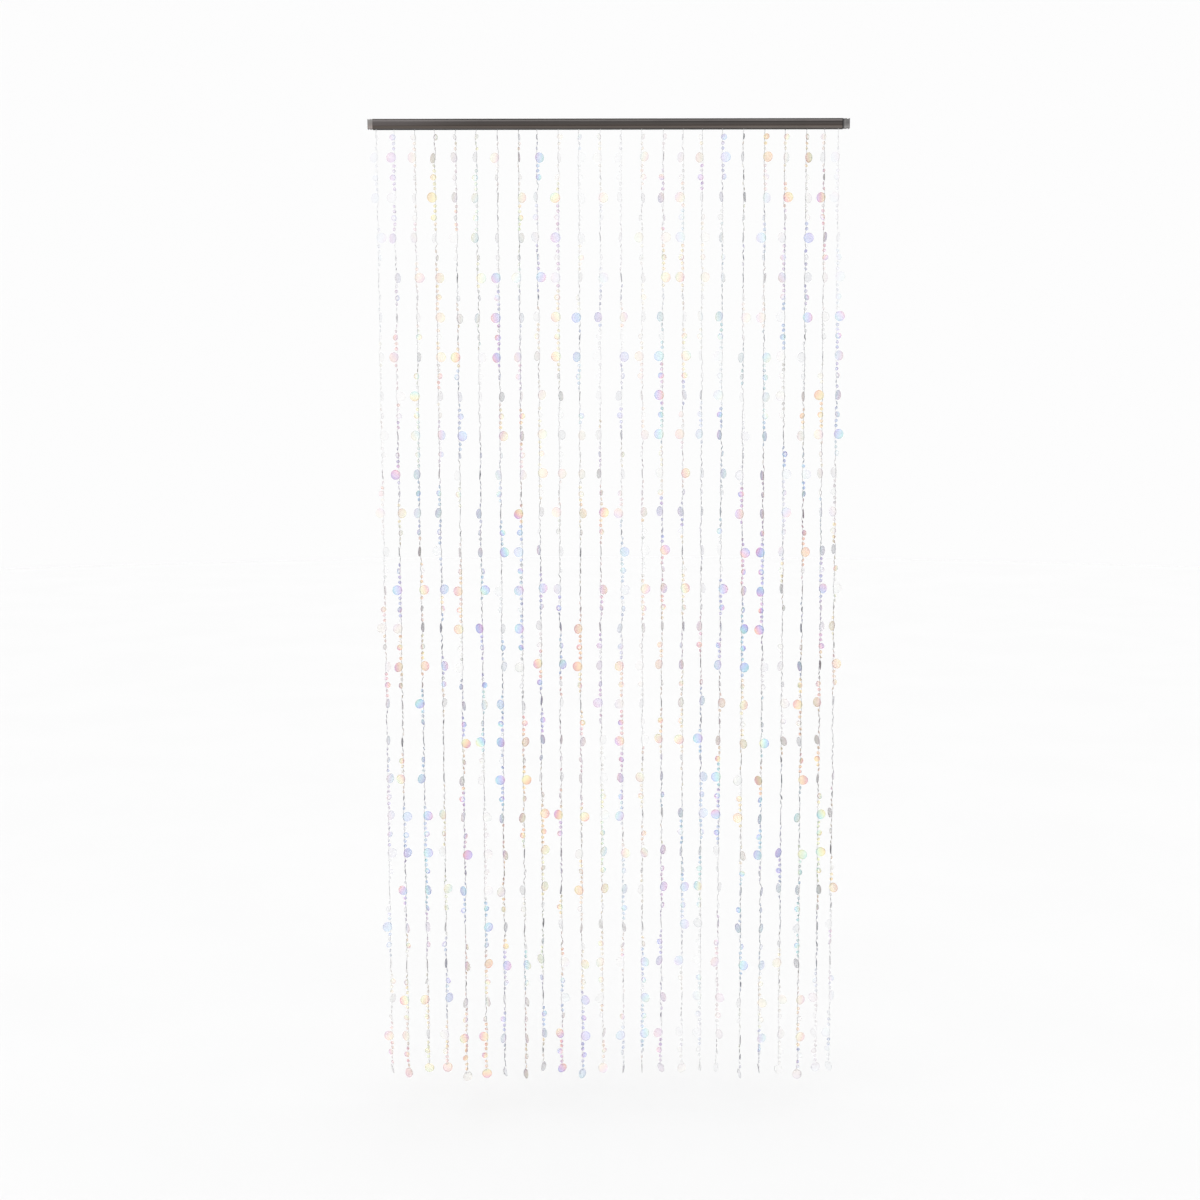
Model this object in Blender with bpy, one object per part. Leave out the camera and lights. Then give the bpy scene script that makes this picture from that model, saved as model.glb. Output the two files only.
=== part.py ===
"""Sequin string curtain on its rail.

A door curtain: an anodised aluminium rail with a plug in each end, and a comb
of sequin strings. The strings are knotted to a heading strip that slides in
the slot under the rail, so strip and strings are one piece, a comb.

Metres, +Z up. The origin is the centre of the rail's top face. The strings
hang along -Z, the front of the curtain faces -Y, +X is to its right.
"""
import math

import bpy
import bmesh
from mathutils import Vector

# ------------------------------------------------------------ driving sizes
MM = 0.001

RAIL_SPAN = 1000.0          # end to end over both plugs
RAIL_HEIGHT = 20.8
RAIL_DEPTH = 14.0
RAIL_WALL = 1.4
RAIL_CORNER = 0.35          # broken outer corners
PLUG_OUT_LEFT = 10.4        # how far each plug stands out of the rail
PLUG_OUT_RIGHT = 14.0
GAP = 0.3                   # between touching pieces

# the rail's front face, from the top down: height of each band and how far
# it is set back behind the foremost face
FRONT_BANDS = (
    # name,      top_mm, bottom_mm, set_back_mm
    ("top_edge",    0.0,   1.8,     0.5),
    ("ridge",       2.2,   5.6,     0.0),
    ("recess",      6.2,  13.8,     0.8),
    ("low_band",   14.4,  20.8,     0.2),
)

SLOT_HALF = 2.9             # the slot under the rail that the strings leave by
LIP = 1.4                   # thickness of the lips beside it
STRIP_ROOM_TOP = 12.9       # the strip's chamber, down from the top
STRIP_ROOM_HALF = 5.6

PITCH = 82.24               # one repeat: large, small, small, medium, small, small
FIRST_LARGE = 77.3          # rail top to the first large sequin
LARGE_ROWS = 25
LAST_LARGE = 2044.0         # the last one hangs a little bunched up
LARGE_D = 21.0
MEDIUM_D = 12.5
LARGE_STITCH = 3.6          # thread to the near edge of the sequin
MEDIUM_STITCH = 2.6
FILM = 2.0                  # the solid stands for film that is cupped and tilted
THREAD = 1.2                # thread and knot where a string leaves the rail

# How a string turns as it hangs: two slow swings, never faster than the
# thread can turn in half a repeat.
SWINGS = (
    # swing_deg, wave_mm, step_per_string_deg
    (120.0, 610.0, 109.0),
    (70.0,  370.0, 235.0),
)
START_STEP = 137.5
MAX_TURN = 68.0

# One row for each string, left to right. x is its place at the rail, bow and
# foot how far its middle and its lower end stray sideways, drop how much
# longer than the norm it is by the last row but one, tail how much lower its
# last sequin hangs, start turns the whole string.
STRINGS = (
    # x_mm, bow_mm, foot_mm, drop_mm, tail_mm, start_deg
    (-483.0,  1.5,  4.0,   0.0,   1.0,   0.0),
    (-446.0, -1.5,  3.0,   2.0,   8.0,  40.0),
    (-403.0, -0.5,  5.0,  -1.0,   0.0,   0.0),
    (-362.5,  2.5,  5.0,  -2.0,   0.0,   0.0),
    (-318.0,  0.5,  4.0,   6.0,  13.0,  10.0),
    (-275.5,  2.0,  4.5,   3.0,   9.0,   0.0),
    (-231.5,  1.0,  1.0,   5.0,   4.0,  60.0),
    (-187.5,  0.5,  2.5,   4.0,   9.0,   0.0),
    (-149.5,  2.0,  3.0,  -8.0,   4.0,   0.0),
    (-105.0, -0.5,  0.5,  -3.0,   3.0, -30.0),
    (-62.0,   0.0,  2.0,   2.0,  11.0,   0.0),
    (-17.5,  -1.0,  2.5,  -3.0,   3.0,   0.0),
    (25.5,    0.5,  5.0,   0.0,   2.0,  25.0),
    (68.5,    2.0,  2.5,  -3.0,   4.0,   0.0),
    (113.5,  -1.0, -0.5,  -7.0,   6.0,   0.0),
    (155.0,   1.0,  3.5,  -6.0,   6.0, -45.0),
    (194.5,   1.0,  4.5,  -8.0,   4.0, 180.0),
    (236.5,   2.0, -2.0,  -4.0,   3.0,   0.0),
    (280.5,   2.0,  6.0,   8.0,   6.0,  15.0),
    (324.5,   2.5,  4.0,   9.0,  -7.0,   0.0),
    (366.5,   3.0,  6.0,   0.0,   4.0,   0.0),
    (411.5,   0.5,  2.0,   5.0,  10.0,  50.0),
    (448.5,   2.0,  5.5,  -2.0,   0.0, 120.0),
    (477.0,   3.0,  6.0,  -7.0,   3.0, 105.0),
)


# ------------------------------------------------------------ scene handling
def clear_scene():
    for ob in list(bpy.data.objects):
        bpy.data.objects.remove(ob, do_unlink=True)


def make_material(name, color, roughness, metallic):
    mat = bpy.data.materials.new(name)
    mat.use_nodes = True
    bsdf = mat.node_tree.nodes["Principled BSDF"]
    bsdf.inputs["Base Color"].default_value = (*color, 1.0)
    bsdf.inputs["Roughness"].default_value = roughness
    bsdf.inputs["Metallic"].default_value = metallic
    return mat


def outline_object(name, loops, half_length, turn, place, collection):
    """A flat outline (mm, one list of points for each loop) given thickness."""
    curve = bpy.data.curves.new(name, "CURVE")
    curve.dimensions = "2D"
    curve.fill_mode = "BOTH"
    curve.extrude = half_length
    for loop in loops:
        spline = curve.splines.new("POLY")
        spline.points.add(len(loop) - 1)
        for point, (u, v) in zip(spline.points, loop):
            point.co = (u * MM, v * MM, 0.0, 1.0)
        spline.use_cyclic_u = True
    ob = bpy.data.objects.new(name, curve)
    ob.rotation_euler = turn
    ob.location = place
    collection.objects.link(ob)
    return ob


def curve_to_mesh(ob, collection):
    """The same object as a welded mesh, so that it can be cut or joined."""
    bpy.context.view_layer.update()
    evaluated = ob.evaluated_get(bpy.context.evaluated_depsgraph_get())
    mesh = bpy.data.meshes.new_from_object(evaluated)
    name = ob.name
    matrix = ob.matrix_world.copy()
    old = ob.data
    bpy.data.objects.remove(ob, do_unlink=True)
    bpy.data.curves.remove(old)
    bm = bmesh.new()
    bm.from_mesh(mesh)
    bmesh.ops.remove_doubles(bm, verts=bm.verts, dist=0.00001)
    bmesh.ops.recalc_face_normals(bm, faces=bm.faces)
    bm.to_mesh(mesh)
    bm.free()
    mesh.name = name
    new = bpy.data.objects.new(name, mesh)
    new.matrix_world = matrix
    collection.objects.link(new)
    return new


def box_object(name, low, high, collection):
    """An axis-aligned box between two corners given in mm."""
    size = [(h - l) * MM for l, h in zip(low, high)]
    mid = [(h + l) / 2.0 * MM for l, h in zip(low, high)]
    mesh = bpy.data.meshes.new(name)
    bm = bmesh.new()
    bmesh.ops.create_cube(bm, size=1.0)
    bmesh.ops.scale(bm, vec=size, verts=bm.verts)
    bm.to_mesh(mesh)
    bm.free()
    ob = bpy.data.objects.new(name, mesh)
    ob.location = mid
    collection.objects.link(ob)
    return ob


def as_guide(ob):
    ob.hide_render = True
    ob.display_type = "WIRE"


def join_with(ob, other, name):
    mod = ob.modifiers.new(name, "BOOLEAN")
    mod.operation = "UNION"
    mod.object = other
    as_guide(other)


# ---------------------------------------------------------------- the rail
def rail_outline():
    """Section of the rail in (y, z), mm: its skin and its upper chamber."""
    back = RAIL_DEPTH / 2.0
    front = -RAIL_DEPTH / 2.0
    low = -RAIL_HEIGHT
    c = RAIL_CORNER
    skin = [
        (back - c, 0.0), (back, -c),
        (back, low + c), (back - c, low),
        (SLOT_HALF, low), (SLOT_HALF, low + LIP),
        (STRIP_ROOM_HALF, low + LIP), (STRIP_ROOM_HALF, -STRIP_ROOM_TOP),
        (-STRIP_ROOM_HALF, -STRIP_ROOM_TOP), (-STRIP_ROOM_HALF, low + LIP),
        (-SLOT_HALF, low + LIP), (-SLOT_HALF, low),
    ]
    bands = list(reversed(FRONT_BANDS))
    for i, (_, top, bottom, back_by) in enumerate(bands):
        y = front + back_by
        if i == 0:
            skin += [(y + c, -bottom), (y, -bottom + c)]
        else:
            skin.append((y, -bottom))
        if i == len(bands) - 1:
            skin += [(y, -top - c), (y + c, -top)]
        else:
            skin.append((y, -top))
    deepest = max(b[3] for b in FRONT_BANDS)
    room = [
        (back - RAIL_WALL, -RAIL_WALL),
        (front + deepest + RAIL_WALL, -RAIL_WALL),
        (front + deepest + RAIL_WALL, -STRIP_ROOM_TOP + RAIL_WALL),
        (back - RAIL_WALL, -STRIP_ROOM_TOP + RAIL_WALL),
    ]
    return skin, room


def rail_ends():
    half = RAIL_SPAN / 2.0
    return -half + PLUG_OUT_LEFT, half - PLUG_OUT_RIGHT


def build_rail(parts):
    skin, room = rail_outline()
    left, right = rail_ends()
    turn = (math.pi / 2.0, 0.0, math.pi / 2.0)      # outline's u to Y, v to Z
    rail = outline_object("rail", [skin, room], (right - left) / 2.0 * MM, turn,
                          ((left + right) / 2.0 * MM, 0.0, 0.0), parts)
    rail.data.materials.append(
        make_material("anodised_aluminium", (0.075, 0.062, 0.056), 0.38, 0.85))
    return rail


# ------------------------------------------------------------- the end plugs
# The part of a plug that shows, seen from the front, from the rail outwards:
# share of its length, and how far its top and bottom are inside the rail's.
PLUG_STEPS = (
    # name,    share, top_in_mm, bottom_in_mm
    ("neck",   0.32,  0.6,  1.0),
    ("rib",    0.24,  0.3,  0.5),
    ("groove", 0.26,  1.3,  1.8),
    ("plate",  0.18,  0.4,  0.7),
)
PLUG_DEPTH = 11.8
TONGUE_LENGTH = 20.0


def build_plug(name, side, parts, guides):
    """side is -1 for the left end, +1 for the right."""
    out = PLUG_OUT_LEFT if side < 0 else PLUG_OUT_RIGHT
    length = out - GAP
    face = rail_ends()[0 if side < 0 else 1]
    top, bottom = [], []
    u = face + side * GAP
    for _, share, top_in, bottom_in in PLUG_STEPS:
        v = u + side * share * length
        top += [(u, -top_in), (v, -top_in)]
        bottom += [(u, -RAIL_HEIGHT + bottom_in), (v, -RAIL_HEIGHT + bottom_in)]
        u = v
    loop = top + bottom[::-1]
    turn = (math.pi / 2.0, 0.0, 0.0)                # outline's u to X, v to Z
    body = curve_to_mesh(
        outline_object(name, [loop], PLUG_DEPTH / 2.0 * MM, turn,
                       (0.0, 0.0, 0.0), parts), parts)
    deepest = max(b[3] for b in FRONT_BANDS)
    inner = face - side * TONGUE_LENGTH
    outer = face + side * (GAP + 1.5)
    tongue = box_object(
        name + "_tongue",
        (min(inner, outer), -RAIL_DEPTH / 2.0 + deepest + RAIL_WALL + GAP,
         -STRIP_ROOM_TOP + RAIL_WALL + GAP),
        (max(inner, outer), RAIL_DEPTH / 2.0 - RAIL_WALL - GAP,
         -RAIL_WALL - GAP), guides)
    join_with(body, tongue, "tongue")
    body.data.materials.append(
        make_material(name + "_plastic", (0.38, 0.36, 0.35), 0.5, 0.0))
    return body


# ---------------------------------------------------------- the string comb
def turn_at(string, depth):
    """Which way the sequins of a string point at a depth, in degrees."""
    angle = START_STEP * string + STRINGS[string][5]
    for swing, wave, step in SWINGS:
        angle += swing * math.sin(2.0 * math.pi * depth / wave
                                  + math.radians(step) * string)
    return angle


def depth_at(string, nominal):
    """Real depth of something at a nominal depth, on a longer or shorter string."""
    return nominal + STRINGS[string][3] * nominal / LAST_LARGE


def place_at(string, depth):
    """Where the thread is, sideways, at a depth."""
    x, bow, foot = STRINGS[string][:3]
    t = depth / LAST_LARGE
    return x + bow * math.sin(math.pi * min(t, 1.0)) + foot * t * t


def string_levels(string):
    """Sections down one string: (depth, low, high, thickness, turn), mm and
    degrees. low and high are the sequin's edges on the two sides of the thread."""
    names = []
    for row in range(LARGE_ROWS - 1):
        large = FIRST_LARGE + PITCH * row
        names.append((large - PITCH / 2.0, -MEDIUM_STITCH, MEDIUM_D - MEDIUM_STITCH))
        names.append((large, -LARGE_STITCH, LARGE_D - LARGE_STITCH))
    levels = []
    turn = None
    for nominal, low, high in names:
        depth = depth_at(string, nominal)
        want = turn_at(string, depth)
        if turn is None:
            turn = want
        turn += max(-MAX_TURN, min(MAX_TURN, want - turn))
        levels.append((depth, low, high, FILM, turn))
    last = LAST_LARGE + STRINGS[string][3] + STRINGS[string][4]
    turn += max(-MAX_TURN, min(MAX_TURN, turn_at(string, last) - turn))
    levels.append((last - 1.0, -LARGE_D / 2.0, LARGE_D / 2.0, FILM, turn))
    levels.append((last + LARGE_D / 2.0, -2.5, 2.5, FILM, turn))
    first = levels[0]
    neck = [(-(STRIP_BOTTOM + 1.0), -THREAD / 2.0, THREAD / 2.0, THREAD, first[4]),
            (RAIL_HEIGHT + 2.6, -THREAD / 2.0, THREAD / 2.0, THREAD, first[4])]
    return neck + levels


def corners(string, level):
    depth, low, high, thick, turn = level
    a = math.radians(turn)
    along = Vector((math.cos(a), math.sin(a), 0.0))
    across = Vector((-math.sin(a), math.cos(a), 0.0))
    mid = Vector((place_at(string, depth), 0.0, -depth))
    half = thick / 2.0
    return [(mid + along * s + across * t) * MM
            for s, t in ((low, -half), (high, -half), (high, half), (low, half))]


def loft(bm, sections):
    """A solid through four-cornered sections, from the top one down. Both
    broad faces are split along the same diagonal, so they stay parallel."""
    rings = [[bm.verts.new(p) for p in s] for s in sections]
    bm.faces.new(rings[0])
    bm.faces.new(rings[-1][::-1])
    for a, b in zip(rings, rings[1:]):
        for i in range(4):
            j = (i + 1) % 4
            if i == 2:
                bm.faces.new((a[i], b[i], a[j]))
                bm.faces.new((b[i], b[j], a[j]))
            else:
                bm.faces.new((a[i], b[i], b[j]))
                bm.faces.new((a[i], b[j], a[j]))


STRIP_TOP = -(STRIP_ROOM_TOP + GAP)
STRIP_BOTTOM = -(RAIL_HEIGHT - LIP - GAP)


def build_comb(parts, guides):
    left, right = rail_ends()
    comb = box_object("string_comb",
                      (left + 1.0, -STRIP_ROOM_HALF + GAP, STRIP_BOTTOM),
                      (right - 1.0, STRIP_ROOM_HALF - GAP, STRIP_TOP), parts)
    mesh = bpy.data.meshes.new("strings")
    bm = bmesh.new()
    for string in range(len(STRINGS)):
        loft(bm, [corners(string, lv) for lv in string_levels(string)])
    bm.to_mesh(mesh)
    bm.free()
    strings = bpy.data.objects.new("strings", mesh)
    guides.objects.link(strings)
    join_with(comb, strings, "strings")
    comb.data.materials.append(
        make_material("sequin_film", (0.82, 0.80, 0.90), 0.18, 0.0))
    return comb


def main():
    clear_scene()
    parts = bpy.data.collections.new("sequin_curtain")
    guides = bpy.data.collections.new("joined_shapes")
    bpy.context.scene.collection.children.link(parts)
    bpy.context.scene.collection.children.link(guides)
    build_rail(parts)
    build_plug("end_plug_left", -1, parts, guides)
    build_plug("end_plug_right", 1, parts, guides)
    build_comb(parts, guides)


main()
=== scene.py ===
"""Looks of the sequin string curtain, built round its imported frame.

The rail and its plugs keep their shapes and get their metal and plastic here.
The comb is replaced by what it stands for: the heading strip, 24 threads and
the film sequins that are sewn to each thread. Sizes below are in millimetres
and degrees, as the object's own design has them; the frame is in metres.
"""

import math
import random

import bpy
import bmesh
import numpy as np
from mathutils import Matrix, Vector
from mathutils.geometry import delaunay_2d_cdt


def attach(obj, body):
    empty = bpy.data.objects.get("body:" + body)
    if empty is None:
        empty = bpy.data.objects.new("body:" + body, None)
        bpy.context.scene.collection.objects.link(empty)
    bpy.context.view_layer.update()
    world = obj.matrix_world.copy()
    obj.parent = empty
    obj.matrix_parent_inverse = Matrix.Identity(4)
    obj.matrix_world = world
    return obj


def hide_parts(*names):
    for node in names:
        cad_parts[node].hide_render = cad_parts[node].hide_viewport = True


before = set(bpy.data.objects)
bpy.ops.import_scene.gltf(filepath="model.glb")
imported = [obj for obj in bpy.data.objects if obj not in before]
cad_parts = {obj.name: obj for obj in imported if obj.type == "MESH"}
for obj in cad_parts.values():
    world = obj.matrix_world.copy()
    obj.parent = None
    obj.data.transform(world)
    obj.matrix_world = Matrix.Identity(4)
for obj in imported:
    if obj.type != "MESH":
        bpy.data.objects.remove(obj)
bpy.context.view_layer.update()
MM = 0.001

# ------------------------------------------------------------ the object's sizes
RAIL_SPAN, RAIL_HEIGHT, RAIL_DEPTH = 1000.0, 20.8, 14.0
PLUG_OUT_LEFT, PLUG_OUT_RIGHT = 10.4, 14.0
STRIP_TOP, STRIP_BOTTOM, STRIP_HALF = -13.2, -19.1, 5.3
PITCH, FIRST_LARGE, LARGE_ROWS, LAST_LARGE = 82.24, 77.3, 25, 2044.0
THREAD_D = 0.85
FLOOR = -2113.0

# sequins: diameter, how far inside the edge the thread runs, how deep the cup
# is, half the distance between the two stitch holes, and the hole's diameter
SEQUINS = {
    # kind:    diameter, stitch, cup, hole_v, hole_d, film
    "large":  (21.0, 2.3, 1.0, 2.8, 1.6, 0.26),
    "medium": (12.5, 2.2, 1.5, 1.9, 1.4, 0.24),
    "small":  (7.2,  2.4, 0.8, 0.0, 1.4, 0.22),
}
STITCH_OFF = SEQUINS["large"][0] / 2.0 - SEQUINS["large"][1]   # stitch to middle
STITCH_HALF = SEQUINS["large"][3]
# one repeat of a string, from a large sequin's middle
REPEAT = (
    # kind,   offset_mm
    ("medium", -41.12), ("small", -27.9), ("small", -17.4),
    ("large", 0.0), ("small", 17.4), ("small", 27.9),
)
# the last run, as shares of the way from the last sewn large sequin to the
# one that hangs from the string's end
LAST_RUN = (("small", 0.24), ("small", 0.38), ("medium", 0.56),
            ("small", 0.745), ("small", 0.885))

SWINGS = ((120.0, 610.0, 109.0), (70.0, 370.0, 235.0))   # deg, mm, deg a string
START_STEP, MAX_TURN = 137.5, 68.0
STRINGS = (
    # x_mm, bow_mm, foot_mm, drop_mm, tail_mm, start_deg
    (-483.0,  1.5,  4.0,   0.0,   1.0,   0.0),
    (-446.0, -1.5,  3.0,   2.0,   8.0,  40.0),
    (-403.0, -0.5,  5.0,  -1.0,   0.0,   0.0),
    (-362.5,  2.5,  5.0,  -2.0,   0.0,   0.0),
    (-318.0,  0.5,  4.0,   6.0,  13.0,  10.0),
    (-275.5,  2.0,  4.5,   3.0,   9.0,   0.0),
    (-231.5,  1.0,  1.0,   5.0,   4.0,  60.0),
    (-187.5,  0.5,  2.5,   4.0,   9.0,   0.0),
    (-149.5,  2.0,  3.0,  -8.0,   4.0,   0.0),
    (-105.0, -0.5,  0.5,  -3.0,   3.0, -30.0),
    (-62.0,   0.0,  2.0,   2.0,  11.0,   0.0),
    (-17.5,  -1.0,  2.5,  -3.0,   3.0,   0.0),
    (25.5,    0.5,  5.0,   0.0,   2.0,  25.0),
    (68.5,    2.0,  2.5,  -3.0,   4.0,   0.0),
    (113.5,  -1.0, -0.5,  -7.0,   6.0,   0.0),
    (155.0,   1.0,  3.5,  -6.0,   6.0, -45.0),
    (194.5,   1.0,  4.5,  -8.0,   4.0, 180.0),
    (236.5,   2.0, -2.0,  -4.0,   3.0,   0.0),
    (280.5,   2.0,  6.0,   8.0,   6.0,  15.0),
    (324.5,   2.5,  4.0,   9.0,  -7.0,   0.0),
    (366.5,   3.0,  6.0,   0.0,   4.0,   0.0),
    (411.5,   0.5,  2.0,   5.0,  10.0,  50.0),
    (448.5,   2.0,  5.5,  -2.0,   0.0, 120.0),
    (477.0,   3.0,  6.0,  -7.0,   3.0, 105.0),
)


# ---------------------------------------------------------------- the camera
def make_camera():
    data = bpy.data.cameras.new("camera")
    data.lens = 51.0
    data.sensor_width = 36.0
    data.clip_start, data.clip_end = 0.05, 60.0
    ob = bpy.data.objects.new("camera", data)
    ob.location = (-0.019, -3.617, -0.602)
    ob.rotation_euler = (math.radians(90.0 - 6.35), math.radians(0.1), 0.0)
    bpy.context.scene.collection.objects.link(ob)
    bpy.context.scene.camera = ob


make_camera()


# --------------------------------------------------------- how a string hangs
def turn_at(string, depth):
    angle = START_STEP * string + STRINGS[string][5]
    for swing, wave, step in SWINGS:
        angle += swing * math.sin(2.0 * math.pi * depth / wave
                                  + math.radians(step) * string)
    return angle


def depth_at(string, nominal):
    return nominal + STRINGS[string][3] * nominal / LAST_LARGE


def place_at(string, depth):
    x, bow, foot = STRINGS[string][:3]
    t = depth / LAST_LARGE
    return x + bow * np.sin(math.pi * np.minimum(t, 1.0)) + foot * t * t


def last_depth(string):
    return LAST_LARGE + STRINGS[string][3] + STRINGS[string][4]


def string_turns(string):
    """Depths and turns of a string's sections, as its solid in the frame has."""
    depths, turns, turn = [], [], None
    for row in range(LARGE_ROWS - 1):
        large = FIRST_LARGE + PITCH * row
        for nominal in (large - PITCH / 2.0, large):
            depth = depth_at(string, nominal)
            want = turn_at(string, depth)
            if turn is None:
                turn = want
            turn += max(-MAX_TURN, min(MAX_TURN, want - turn))
            depths.append(depth)
            turns.append(turn)
    last = last_depth(string)
    turn += max(-MAX_TURN, min(MAX_TURN, turn_at(string, last) - turn))
    return depths + [last], turns + [turn]


def smooth(xs, ys, q):
    """A smooth curve through the points (xs, ys), read at q."""
    xs, ys, q = (np.asarray(a, float) for a in (xs, ys, q))
    m = np.gradient(ys, xs)
    k = np.clip(np.searchsorted(xs, q) - 1, 0, len(xs) - 2)
    h = xs[k + 1] - xs[k]
    t = np.clip((q - xs[k]) / h, 0.0, 1.0)
    return ((1 + 2 * t) * (1 - t) ** 2 * ys[k] + t * (1 - t) ** 2 * h * m[k]
            + t * t * (3 - 2 * t) * ys[k + 1] + t * t * (t - 1) * h * m[k + 1])


class String:
    """One string: where its thread runs, and every sequin on it."""

    def __init__(self, index):
        self.index = index
        self.rng = random.Random(4100 + 37 * index)
        self.depths, self.turns = string_turns(index)
        self.set_sway()
        self.items = self.list_sequins()

    def turn(self, depth):
        return float(np.interp(depth, self.depths, self.turns))

    def set_sway(self):
        """The thread gives way a little behind each heavy sequin, and wanders."""
        rng = self.rng
        d, x, y = [14.0, 23.5], [0.0, 0.0], [0.0, 0.0]
        for k, (depth, turn) in enumerate(zip(self.depths[:-1], self.turns)):
            a = math.radians(turn)
            give = 1.5 if k % 2 else 0.7
            d.append(depth)
            x.append(-give * math.cos(a) + rng.uniform(-0.5, 0.5))
            y.append(-give * math.sin(a) * 0.6 + rng.uniform(-0.4, 0.4))
            d.append(depth + 20.5)
            x.append(rng.uniform(-0.7, 0.7))
            y.append(rng.uniform(-0.5, 0.5))
        last = self.depths[-1]
        d[-1] = min(d[-1], last - 25.0)
        d += [last - STITCH_OFF, last + 12.0]
        x += [0.0, 0.0]
        y += [0.0, 0.0]
        self.sway = d, x, y

    def thread(self, depth):
        """The thread's centre at a depth, mm: one point, or an array of them."""
        q = np.asarray(depth, float)
        d, x, y = self.sway
        return np.stack([place_at(self.index, q) + smooth(d, x, q),
                         smooth(d, y, q), -q], axis=-1)

    def list_sequins(self):
        rng, i = self.rng, self.index
        rows = []
        for row in range(LARGE_ROWS - 1):
            large = FIRST_LARGE + PITCH * row
            rows += [(kind, depth_at(i, large + off)) for kind, off in REPEAT]
        start = depth_at(i, FIRST_LARGE + PITCH * (LARGE_ROWS - 2))
        stitch = last_depth(i) - STITCH_OFF
        rows += [(kind, start + share * (stitch - start)) for kind, share in LAST_RUN]
        items = []
        face = 1.0
        side = -1.0
        for kind, depth in rows:
            loose = {"large": 9.0, "medium": 14.0, "small": 22.0}[kind]
            items.append({
                "kind": kind,
                "depth": depth + rng.uniform(-0.5, 0.5),
                "yaw": self.turn(depth) + rng.gauss(0.0, loose * 0.6),
                "pitch": rng.gauss(0.0, {"large": 3.0, "medium": 6.0, "small": 10.0}[kind]),
                "droop": -rng.uniform(0.0, 5.0),
                "face": face if kind == "large" else rng.choice((-1.0, 1.0)),
                "bend": rng.uniform(-0.9, 0.9) if kind == "large" else 0.0,
                "way": rng.uniform(0.0, math.pi),
                "side": side,
            })
            if kind == "small":
                side = -side
            if kind == "large" and rng.random() < 0.35:
                face = -face
        return items


# ----------------------------------------------------------- shapes of sequins
def cup_height(kind, r):
    """How far the film stands out at a radius, mm."""
    d, _, cup, _, _, _ = SEQUINS[kind]
    s = r / (d / 2.0)
    if kind == "large":         # a shallow dish with a slight lip
        return cup * (0.55 * s ** 2 + 0.45 * s ** 6)
    return cup * np.clip((s - 0.42) / 0.58, 0.0, 1.0) ** 1.25   # flat, then a rim


def circle(n, radius, at=(0.0, 0.0), start=0.0):
    return [(at[0] + radius * math.cos(start + 2 * math.pi * k / n),
             at[1] + radius * math.sin(start + 2 * math.pi * k / n)) for k in range(n)]


def template(kind, sides, rings, hole_sides):
    """A punched film disc as (points, triangles, places): the points are from
    its stitch, u away from the thread, v up, w out of its face, in mm. places
    are u and v from its middle as shares of its radius, and which face."""
    d, stitch, _, hole_v, hole_d, film = SEQUINS[kind]
    radius = d / 2.0
    off = radius - stitch
    outer = circle(sides, radius)
    holes = [circle(hole_sides, hole_d / 2.0, (-off, v))
             for v in ((hole_v, -hole_v) if hole_v else (0.0,))]
    loops = [outer] + holes
    points, edges, spans = [], [], []
    for loop in loops:
        base = len(points)
        points += loop
        spans.append(range(base, base + len(loop)))
        edges += [(base + k, base + (k + 1) % len(loop)) for k in range(len(loop))]
    for share, n in rings:
        for p in (circle(n, radius * share, start=math.pi / n) if share else [(0.0, 0.0)]):
            if all(math.hypot(p[0] + off, p[1] - v) > hole_d * 0.75
                   for v in ((hole_v, -hole_v) if hole_v else (0.0,))):
                points.append(p)
    co, _, faces, orig, _, _ = delaunay_2d_cdt(
        [Vector(p) for p in points], edges, [], 0, 1e-5)
    new_of = {old: new for new, olds in enumerate(orig) for old in olds}
    tris = []
    for f in faces:
        c = sum((co[k] for k in f), Vector((0.0, 0.0))) / len(f)
        if all(math.hypot(c[0] + off, c[1] - v) > hole_d / 2.0 * 0.9
               for v in ((hole_v, -hole_v) if hole_v else (0.0,))):
            a, b, e = (co[k] for k in f)
            area = (b[0] - a[0]) * (e[1] - a[1]) - (b[1] - a[1]) * (e[0] - a[0])
            tris.append(tuple(f) if area > 0 else tuple(f[::-1]))
    flat = np.array([(p[0], p[1]) for p in co])
    r = np.hypot(flat[:, 0], flat[:, 1])
    height = cup_height(kind, r)
    if kind != "large":         # pressed facets in the rim
        angle = np.arctan2(flat[:, 1], flat[:, 0])
        height = height + 0.10 * np.cos(angle * sides / 2.0) * (r > radius * 0.8)
    height -= cup_height(kind, math.hypot(off, hole_v))
    n = len(flat)
    top = np.column_stack([flat[:, 0] + off, flat[:, 1], height + film / 2.0])
    low = np.column_stack([flat[:, 0] + off, flat[:, 1], height - film / 2.0])
    out = [(a, b, c) for a, b, c in tris] + [(c + n, b + n, a + n) for a, b, c in tris]
    for k, span in enumerate(spans):
        ids = [new_of[s] for s in span]
        for a, b in zip(ids, ids[1:] + ids[:1]):
            if k == 0:
                out += [(a, a + n, b + n), (a, b + n, b)]
            else:
                out += [(a, b + n, a + n), (a, b, b + n)]
    places = np.vstack([np.column_stack([flat / radius, np.full(n, s)]) for s in (1.0, -1.0)])
    return np.vstack([top, low]), np.array(out), places


TEMPLATES = {
    "large": template("large", 36, ((0.86, 24), (0.55, 12), (0.0, 1)), 7),
    "medium": template("medium", 24, ((0.74, 16), (0.42, 10), (0.0, 1)), 6),
    "small": template("small", 16, ((0.5, 8),), 6),
}


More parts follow.
